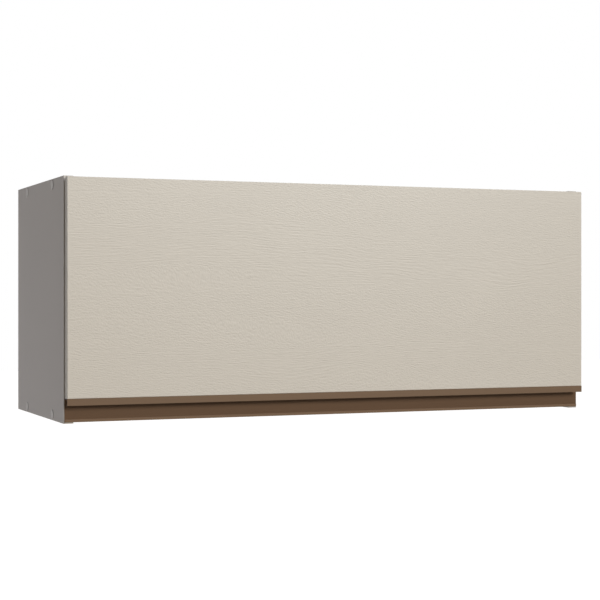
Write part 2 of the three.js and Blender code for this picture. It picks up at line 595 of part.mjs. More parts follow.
// A rivet with a head on each side of two plates, its shank running between two layers.
function rivet(side, outer, inner, centre) {
  const shank = outer - inner;
  return turned([[0, 0], [RIVET_HEAD_RADIUS, 0], [RIVET_HEAD_RADIUS, RIVET_HEAD],
    [RIVET_RADIUS, RIVET_HEAD], [RIVET_RADIUS, RIVET_HEAD + shank],
    [RIVET_HEAD_RADIUS, RIVET_HEAD + shank], [RIVET_HEAD_RADIUS, 2 * RIVET_HEAD + shank],
    [0, 2 * RIVET_HEAD + shank]],
  [side * (outer + RIVET_HEAD), centre.x, centre.y], [-side, 0, 0]);
}

const stayLever = (side) => prism(
  linkShape(LEVER_PIVOT, ELBOW, LEVER_PIVOT_END, LEVER_ELBOW_END,
    PIVOT_PIN_RADIUS + RUNNING, RIVET_RADIUS + RUNNING),
  'X', side * LEVER_OUT, side * LEVER_IN);

const stayLink = (side) => prism(
  linkShape(ELBOW, DOOR_PIN, LINK_END, LINK_END, RIVET_RADIUS + RUNNING, RIVET_RADIUS + RUNNING),
  'X', side * LINK_OUT, side * LINK_IN);

// An angle on the door's back: a screwed base and a lug that carries the link's pin.
function doorBracket(side) {
  const seat = DOOR_BACK + SNUG;
  const lugEnd = DOOR_PIN.x + BRACKET_LUG_END;
  const section = [[side * LUG_OUT, seat], [side * LUG_OUT, lugEnd], [side * LUG_IN, lugEnd],
    [side * LUG_IN, seat + BRACKET_WALL], [side * (LUG_OUT - BRACKET_BASE), seat + BRACKET_WALL],
    [side * (LUG_OUT - BRACKET_BASE), seat]];
  const angle = prism(polygon(section), 'Z', DOOR_PIN.y - BRACKET_HEIGHT / 2,
    DOOR_PIN.y + BRACKET_HEIGHT / 2);
  const pinHole = rod(RIVET_RADIUS + SNUG, BRACKET_WALL + 2 * FIT,
    [side * (LUG_OUT + FIT), DOOR_PIN.x, DOOR_PIN.y], [-side, 0, 0]);
  const middle = side * (LUG_IN + LUG_OUT - BRACKET_BASE) / 2;
  const screwHoles = [-1, 1].map((end) => rod(SMALL_SCREW_RADIUS + SNUG, BRACKET_WALL + 2 * FIT,
    [middle, seat - FIT, DOOR_PIN.y + end * BRACKET_SCREW_SPACING / 2], [0, 1, 0]));
  return carve(angle, [pinHole, ...screwHoles]);
}

for (const [name, side] of SIDES) {
  add(`${name}_stay_housing`, stayHousing(side), STAY_PLASTIC);
  add(`${name}_stay_pivot_pin`, pivotPin(side), HINGE_STEEL);
  add(`${name}_stay_lever`, stayLever(side), HINGE_STEEL);
  add(`${name}_stay_elbow_rivet`, rivet(side, LEVER_OUT + SNUG, LINK_IN - SNUG, ELBOW),
    HINGE_STEEL);
  add(`${name}_stay_link`, stayLink(side), HINGE_STEEL);
  add(`${name}_stay_door_bracket`, doorBracket(side), HINGE_STEEL);
  add(`${name}_stay_door_rivet`, rivet(side, LINK_OUT + SNUG, LUG_IN - SNUG, DOOR_PIN),
    HINGE_STEEL);
}

export default cabinet;
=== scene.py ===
# Lift up wall cabinet: a cream laminate carcass whose single wide front lifts up.
# Metres, +Z up, the front faces -Y, the origin is at the middle of the base.
from math import pi, radians

import bmesh
import bpy
from mathutils import Matrix, Vector


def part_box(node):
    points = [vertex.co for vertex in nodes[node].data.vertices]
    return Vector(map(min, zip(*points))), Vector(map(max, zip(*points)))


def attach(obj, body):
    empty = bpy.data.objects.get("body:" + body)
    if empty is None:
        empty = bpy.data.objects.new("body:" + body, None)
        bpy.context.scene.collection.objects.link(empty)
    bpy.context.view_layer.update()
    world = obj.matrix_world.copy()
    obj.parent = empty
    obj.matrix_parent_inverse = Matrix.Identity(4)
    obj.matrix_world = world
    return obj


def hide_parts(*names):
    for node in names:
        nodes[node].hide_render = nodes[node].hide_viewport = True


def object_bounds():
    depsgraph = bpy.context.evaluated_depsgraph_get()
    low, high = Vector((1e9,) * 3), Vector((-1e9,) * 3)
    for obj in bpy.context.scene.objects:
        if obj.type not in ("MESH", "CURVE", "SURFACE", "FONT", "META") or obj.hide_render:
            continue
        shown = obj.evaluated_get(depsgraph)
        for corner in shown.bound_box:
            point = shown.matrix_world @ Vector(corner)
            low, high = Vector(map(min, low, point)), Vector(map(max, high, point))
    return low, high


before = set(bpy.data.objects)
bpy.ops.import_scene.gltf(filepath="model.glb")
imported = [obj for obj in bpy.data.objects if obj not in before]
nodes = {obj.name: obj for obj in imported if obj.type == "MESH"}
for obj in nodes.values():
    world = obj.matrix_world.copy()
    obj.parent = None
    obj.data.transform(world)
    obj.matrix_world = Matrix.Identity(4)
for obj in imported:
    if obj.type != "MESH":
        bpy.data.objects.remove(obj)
cad_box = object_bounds()

# ---------- View and light ----------
# The camera stands level, to the left of the front, with a long lens. A soft sun comes
# from the right and a second one lights the back, a softbox hangs high in front, a lamp
# stands low behind the left side, and a weak sky and a pale floor fill in.

CAMERA_PLACE = (-0.97950, -2.39346, 0.19086)
CAMERA_TURN = (radians(90), 0, radians(-22.2204))
CAMERA_SENSOR = 36
CAMERA_LENS = 90.562
CAMERA_SHIFT = -0.00481
SUN_SPREAD = radians(20)
SUN_COLOUR = (1, 0.962, 0.95)
SUN_STRENGTH = 1.65
SUN_AZIMUTH = radians(20)  # to the right of the front's normal
SUN_ELEVATION = radians(19.5)
REAR_SUN_COLOUR = (1, 0.98, 0.96)
REAR_SUN_STRENGTH = 1.4
REAR_SUN_AZIMUTH = radians(150)
REAR_SUN_ELEVATION = radians(6)
SOFTBOX_COLOUR = (0.75, 0.85, 1)
SOFTBOX_POWER = 9.6
SOFTBOX_SIZE = (0.8, 0.4)
SOFTBOX_PLACE = (0.03, -0.95, 1.3)
SIDE_LAMP_COLOUR = (0.71, 0.763, 1)
SIDE_LAMP_POWER = 7.1
SIDE_LAMP_SIZE = (1.0, 1.0)
SIDE_LAMP_PLACE = (-2.2, 0.55, -0.5)
FILL_COLOUR = (1, 0.97, 0.9, 1)
FILL_STRENGTH = 0.107
WHITE = (1, 1, 1, 1)
FLOOR_DROP = 1.4  # the cabinet hangs this far above the floor
FLOOR_SIZE = 60
FLOOR_COLOUR = (0.8, 0.8, 0.79, 1)
FLOOR_LIFT = 0.81  # what the camera sees on top of the floor's own light

scene = bpy.context.scene
scene.view_settings.view_transform = "Standard"


def add_node(tree, kind, inputs=None, **settings):
    """Adds a shader node; an input is a value or another node's output."""
    node = tree.nodes.new("ShaderNode" + kind)
    for name, value in settings.items():
        setattr(node, name, value)
    for name, value in (inputs or {}).items():
        if isinstance(value, bpy.types.NodeSocket):
            tree.links.new(value, node.inputs[name])
        else:
            node.inputs[name].default_value = value
    return node


def maths(tree, operation, *values):
    """The result of one math node."""
    return add_node(tree, "Math", dict(enumerate(values)), operation=operation).outputs[0]


def seen_directly(tree):
    """1 where a camera, glossy or transmission ray looks, and 0 for all other light."""
    path = add_node(tree, "LightPath").outputs
    glossy = maths(tree, "MAXIMUM", path["Is Glossy Ray"], path["Is Transmission Ray"])
    return maths(tree, "MAXIMUM", path["Is Camera Ray"], glossy)


def mixed_shader(tree, amount, first, second):
    """A shader that turns from one into another as an amount goes from 0 to 1."""
    inputs = {0: amount, 1: first.outputs[0], 2: second.outputs[0]}
    return add_node(tree, "MixShader", inputs)


def put(name, data):
    """Links a new object into the scene."""
    made = bpy.data.objects.new(name, data)
    scene.collection.objects.link(made)
    return made


def soft_sun(name, colour, strength, azimuth, elevation):
    """A sun with soft shadows, from a direction to the right of the front's normal."""
    data = bpy.data.lights.new(name, "SUN")
    data.energy = strength
    data.color = colour
    data.angle = SUN_SPREAD
    put(name, data).rotation_euler = (pi / 2 - elevation, 0, azimuth)


def area_lamp(name, colour, power, size, place, aim):
    """A rectangular lamp that stands in one place and faces another."""
    data = bpy.data.lights.new(name, "AREA")
    data.shape = "RECTANGLE"
    data.size, data.size_y = size
    data.color = colour
    data.energy = power
    lamp = put(name, data)
    lamp.location = place
    lamp.rotation_euler = (Vector(aim) - Vector(place)).to_track_quat("-Z", "Y").to_euler()


camera_data = bpy.data.cameras.new("camera")
camera_data.sensor_width = CAMERA_SENSOR
camera_data.lens = CAMERA_LENS
camera_data.shift_y = CAMERA_SHIFT
camera = put("camera", camera_data)
camera.location = CAMERA_PLACE
camera.rotation_euler = CAMERA_TURN
scene.camera = camera

soft_sun("sun", SUN_COLOUR, SUN_STRENGTH, SUN_AZIMUTH, SUN_ELEVATION)
soft_sun("rear sun", REAR_SUN_COLOUR, REAR_SUN_STRENGTH, REAR_SUN_AZIMUTH, REAR_SUN_ELEVATION)
middle_height = cad_box[1][2] / 2
area_lamp("softbox", SOFTBOX_COLOUR, SOFTBOX_POWER, SOFTBOX_SIZE, SOFTBOX_PLACE,
          (SOFTBOX_PLACE[0], cad_box[0][1], middle_height))
area_lamp("side lamp", SIDE_LAMP_COLOUR, SIDE_LAMP_POWER, SIDE_LAMP_SIZE, SIDE_LAMP_PLACE,
          (cad_box[0][0], 0, middle_height))

# The sky and the floor look white, but the light they give the cabinet is weaker.
world = bpy.data.worlds.new("studio")
scene.world = world
world.use_nodes = True
tree = world.node_tree
tree.nodes.clear()
fill = add_node(tree, "Background", {"Color": FILL_COLOUR, "Strength": FILL_STRENGTH})
backdrop = add_node(tree, "Background", {"Color": WHITE, "Strength": 1})
sky = mixed_shader(tree, seen_directly(tree), fill, backdrop)
add_node(tree, "OutputWorld", {"Surface": sky.outputs[0]})

# From below the floor is clear, so that it doesn't hide the cabinet.
floor_material = bpy.data.materials.new("pale floor")
floor_material.use_nodes = True
tree = floor_material.node_tree
tree.nodes.clear()
matt = add_node(tree, "BsdfDiffuse", {"Color": FLOOR_COLOUR})
lift = add_node(tree, "Emission", {"Color": WHITE, "Strength": FLOOR_LIFT})
nothing = add_node(tree, "Emission", {"Strength": 0.0})
lifted = mixed_shader(tree, seen_directly(tree), nothing, lift)
upper_side = add_node(tree, "AddShader", {0: matt.outputs[0], 1: lifted.outputs[0]})
clear = add_node(tree, "BsdfTransparent")
from_below = add_node(tree, "NewGeometry").outputs["Backfacing"]
floor_look = mixed_shader(tree, from_below, upper_side, clear)
add_node(tree, "OutputMaterial", {"Surface": floor_look.outputs[0]})
floor_mesh = bmesh.new()
bmesh.ops.create_grid(floor_mesh, x_segments=1, y_segments=1, size=FLOOR_SIZE / 2,
                      matrix=Matrix.Translation((0, 0, -FLOOR_DROP)))
floor_data = bpy.data.meshes.new("floor")
floor_mesh.to_mesh(floor_data)
floor_mesh.free()
floor_data.materials.append(floor_material)
put("floor", floor_data)

# ---------- Side panels ----------
# Two 15 mm chipboard sides faced with cream melamine. Their front, top and bottom
# edges carry a thin glued band, and the rear edge against the wall is bare chipboard.
# The front edges and ends are lightly rounded over where the band was trimmed.

SIDES = {"left": -1, "right": 1}
CREAM = (0.665, 0.61, 0.535, 1)
CREAM_ROUGHNESS = 0.64
CREAM_SPECULAR = 0.07
PEARL_A_METRE = 900.0
BAND_THICKNESS = 0.0006
# Painted shade: the panels' ends, and a thin line beside them, are darkened a little.
BAND_PAINTED_SHADE = (0.3, 0.27, 0.235, 1)
BAND_PAINTED_SHADE_SHARE = 0.3
CHIPBOARD_PALE = (0.5, 0.37, 0.23, 1)
CHIPBOARD_DARK = (0.24, 0.15, 0.08, 1)
CHIPBOARD_ROUGHNESS = 0.9
BOARD_EDGE_RADIUS = 0.0004
WELD = 1e-6

panel_low, panel_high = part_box("left_side_panel")
REAR = panel_high.y
PANEL_HEIGHT = panel_high.z


def new_material(name, colour, roughness, metallic=0.0, specular=0.5):
    """A Principled material, and its tree, shader and Object coordinates."""
    material = bpy.data.materials.new(name)
    material.use_nodes = True
    tree = material.node_tree
    shader = tree.nodes["Principled BSDF"]
    shader.inputs["Base Color"].default_value = colour
    shader.inputs["Roughness"].default_value = roughness
    shader.inputs["Metallic"].default_value = metallic
    shader.inputs["Specular IOR Level"].default_value = specular
    place = add_node(tree, "TexCoord").outputs["Object"]
    return material, tree, shader, place


def stretched(tree, place, scale, shift=(0, 0, 0)):
    """Coordinates scaled by different amounts along X, Y and Z, then shifted."""
    inputs = {"Vector": place, "Scale": scale, "Location": shift}
    return add_node(tree, "Mapping", inputs).outputs[0]


def noise(tree, place, scale=1.0, detail=1.0, roughness=0.5):
    """A noise value between 0 and 1."""
    inputs = {"Vector": place, "Scale": scale, "Detail": detail, "Roughness": roughness}
    return add_node(tree, "TexNoise", inputs).outputs[0]


def ranged(tree, value, low, high, to_low=0.0, to_high=1.0, smooth=False):
    """A value's range mapped onto another and held there."""
    inputs = {"Value": value, "From Min": low, "From Max": high, "To Min": to_low,
              "To Max": to_high}
    kind = "SMOOTHSTEP" if smooth else "LINEAR"
    return add_node(tree, "MapRange", inputs, interpolation_type=kind).outputs[0]


def blended(tree, amount, first, second, blend="MIX"):
    """Two colours mixed by an amount."""
    node = add_node(tree, "Mix", {0: amount, 6: first, 7: second}, data_type="RGBA",
                    blend_type=blend)
    return node.outputs[2]


def toned(tree, colour, tone):
    """A colour made darker or lighter by a tone near 1."""
    grey = add_node(tree, "CombineColor", {0: tone, 1: tone, 2: tone}).outputs[0]
    return blended(tree, 1.0, colour, grey, "MULTIPLY")


def bumped(tree, shader, height, strength, distance):
    """Raises a shader's surface by a height."""
    inputs = {"Height": height, "Strength": strength, "Distance": distance}
    tree.links.new(add_node(tree, "Bump", inputs).outputs[0], shader.inputs["Normal"])


def new_group(name, inputs, outputs):
    """An empty node group with named float or vector inputs and float outputs."""
    group = bpy.data.node_groups.new(name, "ShaderNodeTree")
    for socket, value in inputs:
        kind = "NodeSocketVector" if value is None else "NodeSocketFloat"
        made = group.interface.new_socket(socket, in_out="INPUT", socket_type=kind)
        if value is not None:
            made.default_value = value
    for socket in outputs:
        group.interface.new_socket(socket, in_out="OUTPUT", socket_type="NodeSocketFloat")
    return group, group.nodes.new("NodeGroupInput").outputs, group.nodes.new("NodeGroupOutput")


def use_group(tree, group, **inputs):
    """Places a node group in a material and returns its outputs."""
    return add_node(tree, "Group", inputs, node_tree=group).outputs


def pressed_skin():
    """The faint pearl of a press plate, and the slow unevenness of a wide board."""
    inputs = [("Vector", None), ("Pearl", PEARL_A_METRE)]
    group, given, result = new_group("pressed skin", inputs, ["Height", "Tone"])
    pearl = noise(group, given["Vector"], given["Pearl"])
    cloud = noise(group, given["Vector"], 7.0, detail=3.0)
    group.links.new(pearl, result.inputs["Height"])
    group.links.new(ranged(group, cloud, 0.3, 0.7, 0.992, 1.005), result.inputs["Tone"])
    return group


def chipboard():
    """The pressed chips of a bare chipboard edge: chip masks and their relief."""
    group, given, result = new_group("chipboard", [("Vector", None)], ["Chips", "Height"])
    flakes = stretched(group, given["Vector"], (1, 1, 2.2))
    chips = add_node(group, "TexVoronoi", {"Vector": flakes, "Scale": 520.0})
    dust = noise(group, given["Vector"], 1800.0, detail=3.0, roughness=0.7)
    tone = add_node(group, "SeparateColor", {0: chips.outputs["Color"]}).outputs[0]
    mixed = maths(group, "MULTIPLY_ADD", tone, 0.65, maths(group, "MULTIPLY", dust, 0.5))
    group.links.new(mixed, result.inputs["Chips"])
    group.links.new(maths(group, "ADD", tone, dust), result.inputs["Height"])
    return group


PRESSED_SKIN = pressed_skin()
CHIPBOARD = chipboard()


def melamine(name, bare_axis, bare_edge, painted_shade_at_ends=False):
    """Cream melamine, but for the bare chipboard of the edge at one place on an axis."""
    material, tree, shader, place = new_material(name, CREAM, CREAM_ROUGHNESS,
                                                 specular=CREAM_SPECULAR)
    skin = use_group(tree, PRESSED_SKIN, Vector=place, Pearl=PEARL_A_METRE)
    chips = use_group(tree, CHIPBOARD, Vector=place)
    split = add_node(tree, "SeparateXYZ", {0: place}).outputs
    bare = maths(tree, "COMPARE", split[bare_axis], bare_edge, BOARD_EDGE_RADIUS / 4)
    cream = toned(tree, CREAM, skin["Tone"])
    # Painted shade along the ends: they and a thin line beside them are darkened a little.
    if painted_shade_at_ends:
        end = PANEL_HEIGHT / 2
        from_middle = maths(tree, "ABSOLUTE", maths(tree, "SUBTRACT", split["Z"], end))
        end_shade = ranged(tree, from_middle, end - 2 * BAND_THICKNESS, end - BAND_THICKNESS,
                      0.0, BAND_PAINTED_SHADE_SHARE, smooth=True)
        cream = blended(tree, end_shade, cream, BAND_PAINTED_SHADE)
    raw = blended(tree, chips["Chips"], CHIPBOARD_DARK, CHIPBOARD_PALE)
    tree.links.new(blended(tree, bare, cream, raw), shader.inputs["Base Color"])
    tree.links.new(ranged(tree, bare, 0, 1, CREAM_ROUGHNESS, CHIPBOARD_ROUGHNESS),
                   shader.inputs["Roughness"])
    rough = maths(tree, "MULTIPLY", chips["Height"], bare)
    relief = maths(tree, "MULTIPLY_ADD", skin["Height"], 0.12, rough)
    bumped(tree, shader, relief, strength=0.25, distance=0.0003)
    return material


def copied(node):
    """A CAD solid as a bmesh, with its loose triangles welded and its flats joined."""
    bm = bmesh.new()
    bm.from_mesh(nodes[node].data)
    bmesh.ops.remove_doubles(bm, verts=bm.verts, dist=WELD)
    bmesh.ops.dissolve_limit(bm, angle_limit=radians(0.5), verts=bm.verts, edges=bm.edges,
                             use_dissolve_boundaries=False)
    return bm


def finish(bm, name, material, body, slot, *replaced, crease=35):
    """Makes a bmesh a piece of the cabinet, smooth but for its sharp edges."""
    mesh = bpy.data.meshes.new(name)
    bm.to_mesh(mesh)
    bm.free()
    mesh.shade_smooth()
    mesh.set_sharp_from_angle(angle=radians(crease))
    mesh.materials.append(material)
    made = put(name, mesh)
    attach(made, body)
    if replaced:
        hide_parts(*replaced)
    return made


def flattened(made):
    """Keeps a piece's flats flat to the light beside the rounds that were modelled."""
    made.modifiers.new("flat faces", "WEIGHTED_NORMAL").keep_sharp = True
    return made


def eased(made, radius):
    """Rounds a piece's sharp edges over by a small radius."""
    rounding = made.modifiers.new("eased edges", "BEVEL")
    rounding.width = radius
    rounding.segments = 2
    rounding.limit_method = "ANGLE"
    rounding.angle_limit = radians(30)
    rounding.use_clamp_overlap = False
    flattened(made)


side_board = melamine("cream melamine side", "Y", REAR, painted_shade_at_ends=True)
for name in SIDES:
    panel = finish(copied(f"{name}_side_panel"), f"{name}_side", side_board, "carcass",
                   "carcass_board", f"{name}_side_panel")
    eased(panel, BOARD_EDGE_RADIUS)

# ---------- Top, bottom and hanging rail ----------
# The top and bottom are the same melamine board, held between the sides by screws.
# Their rear edges are bare. The hanging rail is a strip of it behind the back's top
# edge, screwed to the wall, with its lower edge bare.

inner_board = melamine("cream melamine", "Y", REAR)
strip_board = melamine("cream melamine strip", "Z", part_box("hanging_rail")[0].z)
for node, name, material in (("top_panel", "top_board", inner_board),
                             ("bottom_panel", "bottom_board", inner_board),
                             ("hanging_rail", "hanging_strip", strip_board)):
    board = finish(copied(node), name, material, "carcass", "carcass_board", node)
    eased(board, BOARD_EDGE_RADIUS)

# ---------- Back panel ----------
# A 3 mm hardboard sheet in grooves. Its inside is lacquered cream, and its outside
# is the bare brown board with the mesh mark of the press.

LACQUER = (0.6, 0.555, 0.485, 1)
LACQUER_ROUGHNESS = 0.5
HARDBOARD = (0.21, 0.125, 0.068, 1)
HARDBOARD_PALE = (0.3, 0.19, 0.11, 1)
HARDBOARD_ROUGHNESS = 0.85
MESH_PITCH = 0.0016


def hardboard():
    """Hardboard, cream in front of its middle plane and bare with a mesh mark behind."""
    material, tree, shader, place = new_material("hardboard back", LACQUER, LACQUER_ROUGHNESS,
                                                 specular=0.35)
    low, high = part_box("back_panel")
    split = add_node(tree, "SeparateXYZ", {0: place}).outputs
    bare = maths(tree, "GREATER_THAN", split["Y"], (low.y + high.y) / 2)
    fibres = noise(tree, place, 420.0, detail=4.0, roughness=0.65)
    cloud = noise(tree, place, 9.0, detail=3.0)
    brown = blended(tree, ranged(tree, fibres, 0.35, 0.7), HARDBOARD, HARDBOARD_PALE)
    brown = blended(tree, ranged(tree, cloud, 0.35, 0.65, 0, 0.35), brown, HARDBOARD)
    tree.links.new(blended(tree, bare, LACQUER, brown), shader.inputs["Base Color"])
    tree.links.new(ranged(tree, bare, 0, 1, LACQUER_ROUGHNESS, HARDBOARD_ROUGHNESS),
                   shader.inputs["Roughness"])
    waves = [maths(tree, "SINE", maths(tree, "MULTIPLY", split[axis], 2 * pi / MESH_PITCH))
             for axis in "XZ"]
    mesh_mark = maths(tree, "MULTIPLY", maths(tree, "ADD", *waves), bare)
    relief = maths(tree, "MULTIPLY_ADD", mesh_mark, 0.3, fibres)
    bumped(tree, shader, relief, strength=0.2, distance=0.0003)
    return material


eased(finish(copied("back_panel"), "back_sheet", hardboard(), "carcass", "back_board",
             "back_panel"), BOARD_EDGE_RADIUS / 2)

# ---------- Finger rail ----------
# A thin brown facing over the carcass's lower front, with a bead along its foot.
# It is extruded and painted, with faint lines along its length from the die. The bead
# is painted paler than the profile's brown, a painted highlight where it catches light.

FILM_BROWN = (0.164, 0.0995, 0.0575, 1)
FILM_ROUGHNESS = 0.5
# Paler than the profile's brown: painted highlight on the bead.
BEAD_BROWN_PAINTED_HIGHLIGHT = (0.238, 0.156, 0.096, 1)
BEAD_ROUGHNESS = 0.42
DIE_TONES = (0.96, 1.03)
RAIL_EDGE_RADIUS = 0.0003


def die_lines():
    """Faint lines along X from an extruder's die, broken up over their length."""
    group, given, result = new_group("die lines", [("Vector", None)], ["Height", "Tone"])
    fine = noise(group, stretched(group, given["Vector"], (6, 1500, 1500)), detail=2.0)
    broad = noise(group, stretched(group, given["Vector"], (2, 240, 240)), detail=2.0)
    lines = maths(group, "MULTIPLY_ADD", broad, 0.6, fine)
    group.links.new(lines, result.inputs["Height"])
    group.links.new(ranged(group, lines, 0.5, 1.1, *DIE_TONES), result.inputs["Tone"])
    return group


DIE_LINES = die_lines()


def brown_finish(name, colour, roughness):
    """A brown extrusion's finish, glossier along the paler of its die lines."""
    material, tree, shader, place = new_material(name, colour, roughness, specular=0.06)
    lines = use_group(tree, DIE_LINES, Vector=place)
    tree.links.new(toned(tree, colour, lines["Tone"]), shader.inputs["Base Color"])
    tree.links.new(ranged(tree, lines["Tone"], *DIE_TONES, roughness + 0.06, roughness - 0.06),
                   shader.inputs["Roughness"])
    bumped(tree, shader, lines["Height"], strength=0.12, distance=0.0002)
    return material


# The bead is what lies below the facing's flat, and its rear gets no painted highlight.
rail_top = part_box("finger_rail")[1].z
rail_mesh = copied("finger_rail")
flat_plane = min(vert.co.y for vert in rail_mesh.verts if vert.co.z > rail_top - WELD)
bead_top = min(vert.co.z for vert in rail_mesh.verts if abs(vert.co.y - flat_plane) < WELD)
for face in rail_mesh.faces:
    if face.calc_center_median().z < bead_top + WELD and face.normal.y < 0.5:
        face.material_index = 1
rail = finish(rail_mesh, "finger_rail_facing",
              brown_finish("brown rail film", FILM_BROWN, FILM_ROUGHNESS), "carcass",
              "brown_rail", "finger_rail")
rail.data.materials.append(brown_finish("bead brown painted highlight", BEAD_BROWN_PAINTED_HIGHLIGHT, BEAD_ROUGHNESS))
eased(rail, RAIL_EDGE_RADIUS)

# ---------- Carcass screws and cover caps ----------
# Eight zinc-plated screws hold the sides to the top and bottom. A thin moulded cream
# cap is pressed into the socket of each screw's head. Its edge is painted dark, a
# painted shade for the shadow around its rim.

ZINC = (0.6, 0.6, 0.57, 1)
ZINC_ROUGHNESS = 0.34
CAP_ROUGHNESS = 0.5
CAP_EDGE_PAINTED_SHADE = (0.1, 0.085, 0.072, 1)
CAP_EDGE_ROUGHNESS = 0.55
CAP_PLUG_RADIUS = 0.0019
CAP_ROUND = 0.00025
CAP_STEPS = 48


def shaded(colour, share):
    """A colour made darker or lighter: each channel multiplied by a share."""
    return tuple(share * channel for channel in colour[:3]) + (1,)


def plated(name, colour, roughness):
    """Plated steel: bright metal with faint cloudy wipe marks."""
    material, tree, shader, place = new_material(name, colour, roughness, metallic=1.0)
    cloud = noise(tree, place, 160.0, detail=3.0)
    wiped = noise(tree, stretched(tree, place, (500, 60, 500)), detail=2.0)
    tree.links.new(ranged(tree, cloud, 0.3, 0.7, roughness - 0.06, roughness + 0.1),
                   shader.inputs["Roughness"])
    dull = shaded(colour, 0.88)
    tree.links.new(blended(tree, ranged(tree, cloud, 0.35, 0.7), colour, dull),
                   shader.inputs["Base Color"])
    bumped(tree, shader, wiped, strength=0.08, distance=0.0001)
    return material


def moulded(name, colour, roughness):
    """Moulded plastic with a fine spark-eroded grain."""
    material, tree, shader, place = new_material(name, colour, roughness, specular=0.4)
    fine = noise(tree, place, 2500.0)
    cloud = noise(tree, place, 40.0, detail=2.0)
    shade = shaded(colour, 0.95)
    tree.links.new(blended(tree, ranged(tree, cloud, 0.35, 0.65), colour, shade),
                   shader.inputs["Base Color"])
    tree.links.new(ranged(tree, fine, 0.3, 0.7, roughness - 0.05, roughness + 0.05),
                   shader.inputs["Roughness"])
    bumped(tree, shader, fine, strength=0.15, distance=0.0001)
    return material


def recoated(node, material):
    """Gives a CAD node that stays in sight a better material."""
    materials = nodes[node].data.materials
    materials.clear()
    materials.append(material)


def turned(profile, steps):
    """A closed mesh: a profile of (radius, height) pairs spun about Z."""
    bm = bmesh.new()
    points = [bm.verts.new((radius, 0, height)) for radius, height in profile]
    edges = [bm.edges.new(pair) for pair in zip(points, points[1:])]
    bmesh.ops.spin(bm, geom=points + edges, axis=(0, 0, 1), angle=2 * pi, steps=steps,
                   use_merge=True)
    bmesh.ops.remove_doubles(bm, verts=bm.verts, dist=WELD)
    bmesh.ops.recalc_face_normals(bm, faces=bm.faces)
    return bm


def stood(bm, base, direction):
    """Stands a mesh that rises along Z on a point, so that it rises along a direction."""
    turn = Vector((0, 0, 1)).rotation_difference(Vector(direction)).to_matrix().to_4x4()
    bmesh.ops.transform(bm, matrix=Matrix.Translation(base) @ turn, verts=bm.verts)
    return bm


zinc = plated("zinc plated steel", ZINC, ZINC_ROUGHNESS)
cap_face = moulded("cream cap plastic", CREAM, CAP_ROUGHNESS)
cap_edge_painted_shade = moulded("cap edge painted shade plastic", CAP_EDGE_PAINTED_SHADE, CAP_EDGE_ROUGHNESS)
board_face = abs(panel_low.x)  # from the cabinet's middle to a side's outer face
for name, side in SIDES.items():
    for number in range(1, 5):
        recoated(f"{name}_carcass_screw_{number}", zinc)
        screw_low, screw_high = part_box(f"{name}_carcass_screw_{number}")
        low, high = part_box(f"{name}_screw_cap_{number}")
        inner, outer = (low.x, high.x)[::side]  # from the cabinet's middle outwards
        screw_head = max(abs(screw_low.x), abs(screw_high.x))
        radius = (high.z - low.z) / 2
        seat = abs(side * board_face - inner) + (board_face - screw_head)
        top = abs(outer - inner)
        profile = [(0, 0), (CAP_PLUG_RADIUS, 0), (CAP_PLUG_RADIUS, seat), (radius, seat),
                   (radius, top - CAP_ROUND), (radius - 0.3 * CAP_ROUND, top - 0.3 * CAP_ROUND),
                   (radius - CAP_ROUND, top), (0, top)]
        cap_mesh = stood(turned(profile, CAP_STEPS),
                         (inner, (low.y + high.y) / 2, (low.z + high.z) / 2), (side, 0, 0))
        # The cap's edge faces take the painted shade.
        for face in cap_mesh.faces:
            if abs(face.normal.x) < 0.5:
                face.material_index = 1
        cap = flattened(finish(cap_mesh, f"{name}_cap_{number}", cap_face, "carcass",
                               "cap_plastic", f"{name}_screw_cap_{number}"))
        cap.data.materials.append(cap_edge_painted_shade)

# ---------- Door board ----------
# A 15 mm board wrapped in cream laminate, pressed with the relief of plain-sawn oak
# that runs along the door, with a few smooth lenses in it. Its edges are rounded and
# wrapped too.

DOOR_CREAM = (0.662, 0.604, 0.505, 1)
MARK_PITCH = 0.0044  # from one row of marks in the grain to the next
MARK_CONTRAST = 7.6
SHORT_MARKS = 110.0  # how many there are in a metre along the grain
LONG_MARKS = 20.0
GRAIN_SWAY = 0.095
SWAY_SHIFT = (11.6, 0, 6.8)  # the shifts say which part of an endless pattern shows
ZONE_SHIFT = (14.8, 0, 21.2)
LENS_SHIFT = (7.0, 0, 2.0)


def rows_of_marks(group, along, sway, marks_a_metre):
    """Rows of raised and sunk marks along the grain, between about -1 and 1."""
    phase = maths(group, "MULTIPLY", sway, 2 * pi / MARK_PITCH)
    waves = []
    for shift, wave in ((0, "SINE"), (9, "COSINE")):
        strip = stretched(group, along, (marks_a_metre, 1, 130), (shift, 0, 0))
        depth = noise(group, strip, detail=2.0, roughness=0.9)
        depth = maths(group, "MULTIPLY_ADD", depth, MARK_CONTRAST, -MARK_CONTRAST / 2)
        waves.append(maths(group, "MULTIPLY", depth, maths(group, wave, phase)))
    return maths(group, "ADD", *waves)


